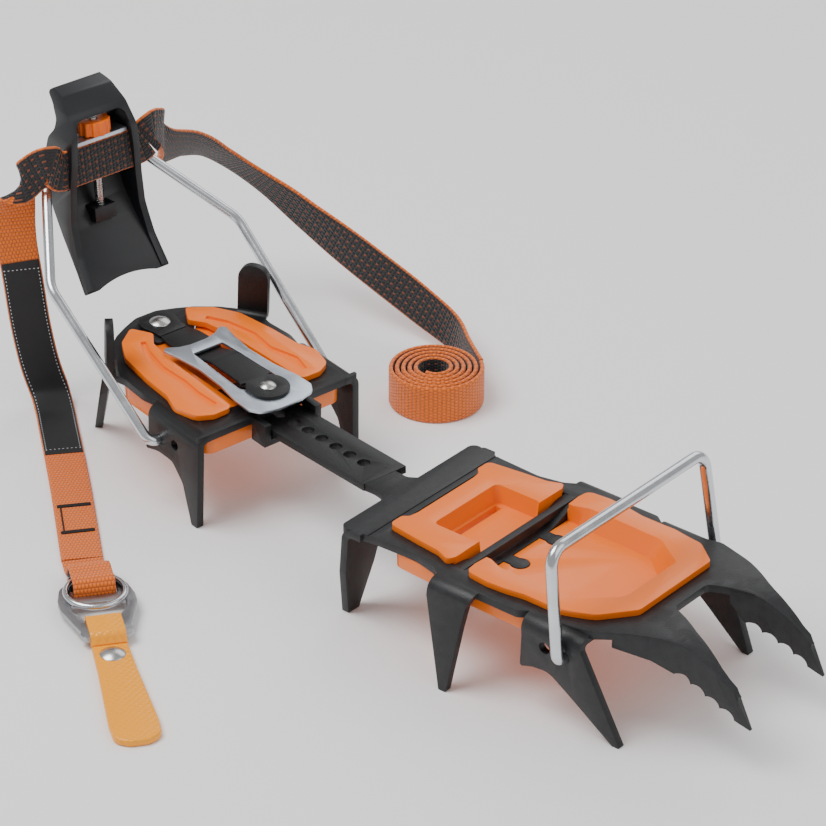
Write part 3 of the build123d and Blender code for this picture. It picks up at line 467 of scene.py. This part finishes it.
def smooth_path(stations, step=1.2):
    """Even samples (centre, across, distance, station) of a smooth curve through the stations."""
    centres = [Vector(c) for c, _ in stations]
    acrosses = [Vector(a).normalized() for _, a in stations]
    gaps = [(b - a).length for a, b in zip(centres, centres[1:])]
    lines = [(values, slopes(values, gaps)) for values in (centres, acrosses)]
    samples, run = [], 0.0
    for i, gap in enumerate(gaps):
        count = max(2, round(gap / step))
        for k in range(count + (i == len(gaps) - 1)):
            t = k / count
            point, across = (between(values, slope, i, gap, t) for values, slope in lines)
            if samples:
                run += (point - samples[-1][0]).length
            samples.append((point, across.normalized(), run, i + t))
    return samples


def slopes(values, gaps):
    """The slope at every station, from the parabola through it and its two neighbours."""
    steps = [(b - a) / gap for a, b, gap in zip(values, values[1:], gaps)]
    inner = [(steps[i - 1] * gaps[i] + steps[i] * gaps[i - 1]) / (gaps[i - 1] + gaps[i])
             for i in range(1, len(steps))]
    return [steps[0], *inner, steps[-1]]


def between(values, slope, i, gap, t):
    """A point part of the way from one station to the next."""
    return (values[i] * (1 + 2 * t) * (1 - t) ** 2 + values[i + 1] * t * t * (3 - 2 * t)
            + slope[i] * gap * t * (1 - t) ** 2 - slope[i + 1] * gap * t * t * (1 - t))


def web_mesh(name, samples, width, thick, outer_sign, flush=0.0):
    """Webbing with rounded selvedges along samples, with its lay map and its outer-face mark.

    outer_sign says which face is the outer one. flush lifts the whole strip off its middle.
    """
    half, edge = width / 2, thick / 2
    ring = [(half - edge - (width - thick) * k / 10, edge, 1) for k in range(11)]
    ring += [(-half + edge - edge * math.sin(a), edge * math.cos(a), 0.5)
             for a in (math.radians(45), math.radians(90), math.radians(135))]
    ring += [(-half + edge + (width - thick) * k / 10, -edge, 0) for k in range(11)]
    ring += [(half - edge + edge * math.sin(a), -edge * math.cos(a), 0.5)
             for a in (math.radians(45), math.radians(90), math.radians(135))]
    verts, marks, lays, faces = [], [], [], []
    count = len(ring)
    for i, (centre, across, run, _) in enumerate(samples):
        ahead = samples[min(i + 1, len(samples) - 1)][0] - samples[max(i - 1, 0)][0]
        face = across.cross(ahead).normalized() * outer_sign
        over = (across - ahead.normalized() * across.dot(ahead.normalized()) * 0.85).normalized()
        for u, lift, mark in ring:
            verts.append((centre + over * u + face * (lift + flush)) * MM)
            marks.append(float(mark > 0.4))
            lays.append((u * MM, run * MM))
    for i in range(len(samples) - 1):
        for k in range(count):
            a, b = i * count + k, i * count + (k + 1) % count
            faces.append((a, b, b + count, a + count))
    faces.append(tuple(range(count - 1, -1, -1)))
    faces.append(tuple(range((len(samples) - 1) * count, len(samples) * count)))
    mesh = bpy.data.meshes.new(name)
    mesh.from_pydata(verts, [], faces)
    layer = mesh.uv_layers.new(name="lay")
    for loop in mesh.loops:
        layer.data[loop.index].uv = lays[loop.vertex_index]
    mark = mesh.attributes.new("outer", "FLOAT", "POINT")
    mark.data.foreach_set("value", marks)
    obj = bpy.data.objects.new(name, mesh)
    bpy.context.scene.collection.objects.link(obj)
    outward(obj)
    shade(obj.data, math.radians(50))
    return obj


def outward(obj):
    """Turns every face of a closed mesh outwards."""
    work = bmesh.new()
    work.from_mesh(obj.data)
    bmesh.ops.recalc_face_normals(work, faces=work.faces)
    if work.calc_volume(signed=True) < 0:
        bmesh.ops.reverse_faces(work, faces=work.faces)
    work.to_mesh(obj.data)
    work.free()


# ---------------------------------------------------------------- repeated details


def stitch_tree():
    """A node tree that sets one short thread capsule along each edge of a line mesh."""
    tree = bpy.data.node_groups.new("Stitch row", "GeometryNodeTree")
    tree.interface.new_socket(name="Geometry", in_out="INPUT", socket_type="NodeSocketGeometry")
    for label, value in (("Length", 0.0016), ("Radius", 0.0003)):
        socket = tree.interface.new_socket(name=label, in_out="INPUT", socket_type="NodeSocketFloat")
        socket.default_value = value
    tree.interface.new_socket(name="Material", in_out="INPUT", socket_type="NodeSocketMaterial")
    tree.interface.new_socket(name="Geometry", in_out="OUTPUT", socket_type="NodeSocketGeometry")
    add, link = tree.nodes.new, tree.links.new
    src, out = add("NodeGroupInput"), add("NodeGroupOutput")
    curve = add("GeometryNodeMeshToCurve")
    link(src.outputs["Geometry"], curve.inputs[0])
    points = add("GeometryNodeCurveToPoints")
    points.mode = "LENGTH"
    link(curve.outputs[0], points.inputs["Curve"])
    link(src.outputs["Length"], points.inputs["Length"])
    body = add("GeometryNodeMeshIcoSphere")
    body.inputs["Subdivisions"].default_value = 2
    link(src.outputs["Radius"], body.inputs["Radius"])
    stretch = add("ShaderNodeCombineXYZ")
    for axis, value in (("X", 0.8), ("Y", 1.0), ("Z", 2.4)):
        stretch.inputs[axis].default_value = value
    place = add("GeometryNodeInstanceOnPoints")
    link(points.outputs["Points"], place.inputs["Points"])
    link(body.outputs["Mesh"], place.inputs["Instance"])
    link(points.outputs["Rotation"], place.inputs["Rotation"])
    link(stretch.outputs[0], place.inputs["Scale"])
    real, finish = add("GeometryNodeRealizeInstances"), add("GeometryNodeSetMaterial")
    link(place.outputs[0], real.inputs[0])
    link(real.outputs[0], finish.inputs["Geometry"])
    link(src.outputs["Material"], finish.inputs["Material"])
    link(finish.outputs[0], out.inputs[0])
    return tree


def thread_tree():
    """A node tree that stacks thread crests along the points of a line mesh."""
    tree = bpy.data.node_groups.new("Screw crests", "GeometryNodeTree")
    tree.interface.new_socket(name="Geometry", in_out="INPUT", socket_type="NodeSocketGeometry")
    for label, value in (("Length", 0.0008), ("Radius", 0.0018)):
        socket = tree.interface.new_socket(name=label, in_out="INPUT", socket_type="NodeSocketFloat")
        socket.default_value = value
    tree.interface.new_socket(name="Material", in_out="INPUT", socket_type="NodeSocketMaterial")
    tree.interface.new_socket(name="Geometry", in_out="OUTPUT", socket_type="NodeSocketGeometry")
    add, link = tree.nodes.new, tree.links.new
    src, out = add("NodeGroupInput"), add("NodeGroupOutput")
    curve = add("GeometryNodeMeshToCurve")
    link(src.outputs["Geometry"], curve.inputs[0])
    points = add("GeometryNodeCurveToPoints")
    points.mode = "LENGTH"
    link(curve.outputs[0], points.inputs["Curve"])
    link(src.outputs["Length"], points.inputs["Length"])
    ring = add("GeometryNodeMeshUVSphere")
    ring.inputs["Segments"].default_value = 24
    ring.inputs["Rings"].default_value = 8
    link(src.outputs["Radius"], ring.inputs["Radius"])
    squat = add("ShaderNodeCombineXYZ")
    for axis, value in (("X", 1.0), ("Y", 1.0), ("Z", 0.26)):
        squat.inputs[axis].default_value = value
    place = add("GeometryNodeInstanceOnPoints")
    link(points.outputs["Points"], place.inputs["Points"])
    link(ring.outputs["Mesh"], place.inputs["Instance"])
    link(points.outputs["Rotation"], place.inputs["Rotation"])
    link(squat.outputs[0], place.inputs["Scale"])
    real, finish = add("GeometryNodeRealizeInstances"), add("GeometryNodeSetMaterial")
    link(place.outputs[0], real.inputs[0])
    link(real.outputs[0], finish.inputs["Geometry"])
    link(src.outputs["Material"], finish.inputs["Material"])
    link(finish.outputs[0], out.inputs[0])
    return tree


def along_lines(name, runs, tree, length, radius, material):
    """Repeats a detail along polylines (in frame millimetres) and returns the plain mesh."""
    mesh = bpy.data.meshes.new(name)
    verts, edges = [], []
    for run in runs:
        base = len(verts)
        verts += [Vector(p) * MM for p in run]
        edges += [(base + i, base + i + 1) for i in range(len(run) - 1)]
    mesh.from_pydata(verts, edges, [])
    obj = bpy.data.objects.new(name, mesh)
    bpy.context.scene.collection.objects.link(obj)
    modifier = obj.modifiers.new("Repeat", "NODES")
    modifier.node_group = tree
    sockets = {item.name: item.identifier for item in tree.interface.items_tree
               if item.in_out == "INPUT"}
    modifier[sockets["Length"]] = length
    modifier[sockets["Radius"]] = radius
    modifier[sockets["Material"]] = bpy.data.materials["look " + material]
    flat_mesh(obj)
    shade(obj.data, math.radians(60))
    return obj


# ---------------------------------------------------------------- webbing course

LACE = (-113.26, 57.62)
UPRIGHT = (-0.14, 0, 1)
LAP = (0.645, 0.764, 0)
LOW = -39.5


def lace_side(sign):
    """The first stations of a run, from inside the lever's slot outwards."""
    x, z = LACE
    return [(in_heel(x, sign * 17.2, z), UPRIGHT), (in_heel(x, sign * 18.5, z), UPRIGHT),
            (in_heel(x, sign * 21.5, z + 1.6), UPRIGHT),
            (in_heel(x, sign * 24.4, z + 4.6), UPRIGHT)]


def right_stations():
    """Webbing from the lever round to the roll."""
    return lace_side(1) + [
        (in_heel(-116.0, 30, 60.4), (0.05, -0.08, 1)),
        ((-193.3, 77.2, 49.0), (0.28, -0.27, 0.92)), ((-199.6, 101, 38.4), (0.51, -0.38, 0.77)),
        ((-201.5, 117, 28.4), (0.66, -0.37, 0.65)), ((-198.9, 128.3, 18.8), (0.72, -0.28, 0.63)),
        ((-189, 137.6, 8), (0.76, -0.12, 0.62)), ((-171.5, 141.8, -2.2), (0.67, 0.06, 0.74)),
        ((-140.2, 142.6, -13.5), (0.5, 0.38, 0.76)),
        ((-112.9, 143.5, -23.6), (0.26, 0.36, 0.86)), ((-92, 141.6, -30.0), (0.1, 0.1, 0.98)),
        ((-80, 134.6, LOW + 8), (0, 0, 1)), ((-65.6, 124.6, LOW + 8), (0, 0, 1))]


def left_stations():
    """Webbing from the lever down to the floor and along to the rings."""
    return lace_side(-1) + [
        (in_heel(-116.8, -29.0, 59.5), (0.1, 0.1, 1)),
        ((-197.2, -1.2, 57.5), (0.4, 0.42, 0.81)), ((-200.0, -0.8, 46.5), (0.62, 0.66, 0.42)),
        ((-200.4, -0.4, 34.5), (0.67, 0.73, 0.1)), ((-199.3, 0.7, 19.5), (0.68, 0.73, 0.05)),
        ((-197.6, 3.2, -8), (0.66, 0.75, 0)), ((-196, 5.6, -24), LAP),
        ((-192.6, 6.6, -34.5), LAP), ((-186, 2.3, -38.4), LAP), ((-176, -6.1, LOW + 0.9), LAP),
        ((-142.7, -34.3, LOW + 0.9), LAP), ((-99.6, -72.2, LOW + 0.9), (0.6, 0.8, 0))]


def cut(samples, low, high):
    """The samples between two station numbers."""
    return [s for s in samples if low - 1e-6 <= s[3] <= high + 1e-6]


def webbing(name, samples, sign, bodies, node=None, flush=0.0, width=None, thick=None,
            material="webbing"):
    """One strip of webbing that rides on a body, or runs from one body to the next, fixed in place
    and riding on neither.
    """
    web = bpy.context.scene.cramp_web
    obj = web_mesh(name, samples, width or web.width / MM, thick or web.thick / MM, sign, flush)
    paint(obj, material)
    if node:
        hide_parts(node)
    if len(bodies) == 1:
        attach(obj, bodies[0])
    else:
        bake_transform(obj)
    return obj


# ---------------------------------------------------------------- operators


class CRAMP_OT_materials(bpy.types.Operator):
    """Make the materials"""
    bl_idname = "cramp.materials"
    bl_label = "Materials"

    def execute(self, context):
        make_materials()
        return {"FINISHED"}


class CRAMP_OT_steel(bpy.types.Operator):
    """Round the edges of the coated steel and finish it"""
    bl_idname = "cramp.steel"
    bl_label = "Coated steel"

    def execute(self, context):
        width = context.scene.cramp_steel.edge
        for node, body in (("front_frame", "toe_half"), ("rear_frame", "heel_half"),
                           ("link_bar", "bar"), ("spring_root", "heel_half"),
                           ("lock_spring", "lock")):
            soften(node, "black_coating", body, width)
        return {"FINISHED"}


class CRAMP_OT_plates(bpy.types.Operator):
    """Round and finish the orange plates that shed snow"""
    bl_idname = "cramp.plates"
    bl_label = "Snow plates"

    def execute(self, context):
        width = context.scene.cramp_plastic.edge
        for node, body in (("front_antiball_plate", "toe_half"),
                           ("rear_antiball_plate", "heel_half")):
            soften(node, "orange_moulding", body, width, 3)
        return {"FINISHED"}


class CRAMP_OT_wires(bpy.types.Operator):
    """Finish the wire bails"""
    bl_idname = "cramp.wires"
    bl_label = "Wire bails"

    def execute(self, context):
        for node, body in (("toe_bail", "toe_wire"), ("heel_bail", "heel_wire")):
            soften(node, "zinc_wire", body, 0.0002)
        return {"FINISHED"}


class CRAMP_OT_lock(bpy.types.Operator):
    """Finish the size lock and the rivets"""
    bl_idname = "cramp.lock"
    bl_label = "Size lock"

    def execute(self, context):
        soften("lock_plate", "plated_sheet", "lock", 0.0003)
        soften("locking_pin", "rivet_steel", "lock", 0.0003)
        soften("heel_rivet", "rivet_steel", "heel_half", 0.0003)
        return {"FINISHED"}


class CRAMP_OT_lever(bpy.types.Operator):
    """Finish the heel lever, its screw, wheel, bearing and carriage"""
    bl_idname = "cramp.lever"
    bl_label = "Heel lever"

    def execute(self, context):
        soften("heel_lever", "black_moulding", "lever", 0.0006, 3)
        soften("carriage_nut", "black_moulding", "carriage", 0.0003)
        soften("bearing_plate", "plated_sheet", "lever", 0.0002)
        soften("thumb_wheel", "orange_wheel", "screw", 0.0003)
        soften("adjuster_screw", "rivet_steel", "screw", 0.0002)
        foot, head = screw_ends()
        crests = along_lines("vis_screw_crests", [[foot, head]], thread_tree(), 0.0009, 0.00188,
                             "rivet_steel")
        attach(crests, "screw")
        return {"FINISHED"}


def screw_ends():
    """Both ends of the screw's threaded length, in frame millimetres."""
    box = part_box("adjuster_screw")
    low, high = Vector(box[0]) / MM, Vector(box[1]) / MM
    side = (low + high) / 2
    tilt = math.radians(8)
    up = (in_heel(-math.sin(tilt), 0, math.cos(tilt)) - in_heel(0, 0, 0)).normalized()
    reach = (high.z - low.z) / 2 - 1.6
    return side - up * reach, side + up * (reach - 9.5)


class CRAMP_OT_webbing(bpy.types.Operator):
    """Weave the ankle strap, its roll, label and stitches"""
    bl_idname = "cramp.webbing"
    bl_label = "Ankle strap"

    def execute(self, context):
        right, left = smooth_path(right_stations()), smooth_path(left_stations())
        x, z = LACE
        middle = smooth_path([(in_heel(x, y, z), UPRIGHT) for y in (-17.2, -6, 6, 17.2)])
        webbing("vis_strap_centre", middle, 1, ["lever"], "strap_centre")
        for side, path, sign in (("right", right, 1), ("left", left, -1)):
            webbing(f"vis_strap_{side}_a", cut(path, 0, 2), sign, ["lever", "carriage"])
            webbing(f"vis_strap_{side}_b", cut(path, 2, 4), sign, ["carriage", "heel_wire"])
        webbing("vis_strap_right_run", cut(right, 4, len(right_stations()) - 1), 1,
                ["heel_wire", "heel_half"], "strap_right_run")
        hang = webbing("vis_strap_left_hang", cut(left, 4, 9), -1, ["heel_wire", "heel_half"],
                       "strap_left_run")
        webbing("vis_strap_left_floor", cut(left, 9, len(left_stations()) - 1), -1, ["heel_half"])
        hanging = cut(left, 4, 9)
        reach = (hanging[0][0], hanging[-1][0])
        webbing("vis_label_hang", cut(left, 7.6, 9), -1, ["heel_wire", "heel_half"], flush=0.75,
                width=15.0, thick=0.7, material="label_face")
        webbing("vis_label_floor", cut(left, 9, 13.55), -1, ["heel_half"], flush=0.75, width=15.0,
                thick=0.7, material="label_face")
        self.roll(context)
        self.loop(left, reach)
        return {"FINISHED"}

    def roll(self, context):
        """The spare end, wound up on edge."""
        web = context.scene.cramp_web
        centre, start = Vector((-76, 108, LOW + 8)), math.radians(53.5)
        pitch = (20 - 0.9 - 5.5) / web.turns
        samples, run = [], 0.0
        for i in range(int(web.turns * 48) + 1):
            angle = start - 2 * math.pi * i / 48
            radius = 19.1 - pitch * i / 48
            point = centre + Vector((radius * math.cos(angle), radius * math.sin(angle), 0))
            if samples:
                run += (point - samples[-1][0]).length
            samples.append((point, Vector((0, 0, 1)), run, i))
        webbing("vis_strap_roll", samples, 1, ["heel_half"], "strap_roll")

    def loop(self, left, reach):
        """The sewn end round the rings, the bar tacks and the label's stitches."""
        tree = stitch_tree()
        length = bpy.context.scene.cramp_web.stitch
        turn = Matrix.Translation((-75.0, -90.7, 0)) @ Matrix.Rotation(math.radians(-37), 4, "Z")
        flat = Vector((0.6, 0.8, 0))
        course = [(-30, 0.9), (-22, 1.4), (-17.6, 6.2), (-14.8, 8.6), (-8, 8.9), (-2.4, 8.5),
                  (-0.9, 6.4), (-0.9, 3.2), (-2.4, 1.2), (-8, 0.95), (-18, 0.95)]
        stations = [(turn @ Vector((x, 0, LOW + z)), flat) for x, z in course]
        webbing("vis_strap_loop", smooth_path(stations, 0.8), -1, ["heel_half"], "strap_loop",
                width=15.9, thick=1.6)
        floor = [s for s in left if s[3] >= 9]
        end = floor[-1][2]
        tacks = []
        for back in (19.0, 38.0):
            near = min(floor, key=lambda s: abs(end - back - s[2]))
            for shift in (-0.5, 0.1, 0.7):
                ahead = Vector((0.76, -0.65, 0)) * shift
                tacks.append([near[0] + near[1] * u + ahead + Vector((0, 0, 1.1))
                              for u in (-5.6, 5.6)])
        near, far = (min(floor, key=lambda s, b=b: abs(end - b - s[2])) for b in (19.0, 38.0))
        tacks.append([s[0] - s[1] * 5.2 + Vector((0, 0, 1.0)) for s in (near, far)])
        tack = along_lines("vis_bar_tacks", tacks, tree, 0.0007, 0.00042, "thread_dark")
        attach(tack, "heel_half")
        span = [s for s in left if 7.8 <= s[3] <= 13.45]
        runs = []
        for u in (-6.7, 6.7):
            line = []
            for i, s in enumerate(span):
                ahead = span[min(i + 1, len(span) - 1)][0] - span[max(i - 1, 0)][0]
                face = s[1].cross(ahead).normalized() * -1
                line.append(s[0] + s[1] * u + face * 1.12)
            runs.append(line)
        runs.append([runs[0][0], runs[1][0]])
        runs.append([runs[0][-1], runs[1][-1]])
        seam = along_lines("vis_label_stitches", runs, tree, length, 0.00017, "thread_pale")
        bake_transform(seam)


class CRAMP_OT_rings(bpy.types.Operator):
    """Finish the rings and the pull tab"""
    bl_idname = "cramp.rings"
    bl_label = "Rings and pull tab"

    def execute(self, context):
        soften("flat_ring", "ring_steel", "heel_half", 0.0004, 3)
        soften("wire_ring", "zinc_wire", "loose_ring", 0.0001)
        soften("tab_fold", "coated_tab", "heel_half", 0.0005, 3)
        soften("pull_tab", "coated_tab", "tab", 0.0008, 3)
        soften("tab_cap", "rivet_steel", "tab", 0.0002)
        return {"FINISHED"}


class CRAMP_OT_stage(bpy.types.Operator):
    """Set up the floor, the soft lights and the camera"""
    bl_idname = "cramp.stage"
    bl_label = "Stage"

    def execute(self, context):
        scene = context.scene
        stage = scene.cramp_stage
        bpy.ops.mesh.primitive_plane_add(size=8, location=(0, 0, -0.0396))
        floor = context.object
        floor.name = "floor"
        material, _ = shader("floor_paint", (0.93, 0.93, 0.93), 0.7)
        floor.data.materials.append(material)
        world = bpy.data.worlds.new("studio")
        world.use_nodes = True
        background = world.node_tree.nodes["Background"]
        background.inputs["Color"].default_value = (1, 1, 1, 1)
        background.inputs["Strength"].default_value = stage.sky
        scene.world = world
        for name, power, size, place in (
                ("key", stage.key, 0.9, (-0.5, -0.5, 1.3)),
                ("fill", stage.fill, 1.2, (1.1, 0.2, 0.9)),
                ("back", stage.fill, 1.0, (-0.3, 1.2, 0.9))):
            lamp = bpy.data.lights.new(name, "AREA")
            lamp.energy = power
            lamp.size = size
            spot = bpy.data.objects.new(name, lamp)
            spot.location = place
            spot.rotation_euler = (Vector((0, 0, 0)) - Vector(place)).to_track_quat(
                "-Z", "Y").to_euler()
            scene.collection.objects.link(spot)
        camera = bpy.data.objects.new("camera", bpy.data.cameras.new("camera"))
        camera.data.sensor_width = 36.0
        camera.data.lens = 176.8
        camera.data.clip_start = 0.01
        camera.location = (0.8204, -0.9908, 0.7744)
        aim = Vector((-0.0761, 0.0944, -0.0396)) - camera.location
        look = aim.to_track_quat("-Z", "Y").to_matrix().to_4x4()
        look = look @ Matrix.Rotation(math.radians(0.29), 4, "Z")
        camera.rotation_euler = look.to_euler()
        scene.collection.objects.link(camera)
        scene.camera = camera
        return {"FINISHED"}


class CRAMP_PT_panel(bpy.types.Panel):
    """Crampon build steps and sizes"""
    bl_idname = "CRAMP_PT_panel"
    bl_label = "Crampon"
    bl_space_type = "VIEW_3D"
    bl_region_type = "UI"
    bl_category = "Crampon"

    def draw(self, context):
        for settings in ("cramp_steel", "cramp_plastic", "cramp_web", "cramp_stage"):
            group = getattr(context.scene, settings)
            box = self.layout.box()
            for name in group.bl_rna.properties.keys():
                if name not in ("rna_type", "name"):
                    box.prop(group, name)
        for operator in OPERATORS:
            self.layout.operator(operator.bl_idname)


SETTINGS = {"cramp_steel": CrampSteelSettings, "cramp_plastic": CrampPlasticSettings,
            "cramp_web": CrampWebSettings, "cramp_stage": CrampStageSettings}
OPERATORS = (CRAMP_OT_materials, CRAMP_OT_steel, CRAMP_OT_plates, CRAMP_OT_wires, CRAMP_OT_lock,
             CRAMP_OT_lever, CRAMP_OT_webbing, CRAMP_OT_rings, CRAMP_OT_stage)


def register():
    """Adds the classes and settings."""
    for cls in (*SETTINGS.values(), *OPERATORS, CRAMP_PT_panel):
        bpy.utils.register_class(cls)
    for name, cls in SETTINGS.items():
        setattr(bpy.types.Scene, name, bpy.props.PointerProperty(type=cls))


def unregister():
    """Takes the classes and settings away again."""
    for name in SETTINGS:
        delattr(bpy.types.Scene, name)
    for cls in (CRAMP_PT_panel, *reversed(OPERATORS), *SETTINGS.values()):
        bpy.utils.unregister_class(cls)


def main():
    """Builds the whole scene."""
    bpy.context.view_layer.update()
    register()
    bpy.ops.cramp.materials()
    bpy.ops.cramp.steel()
    bpy.ops.cramp.plates()
    bpy.ops.cramp.wires()
    bpy.ops.cramp.lock()
    bpy.ops.cramp.lever()
    bpy.ops.cramp.webbing()
    bpy.ops.cramp.rings()
    bpy.ops.cramp.stage()


if __name__ == "__main__":
    main()
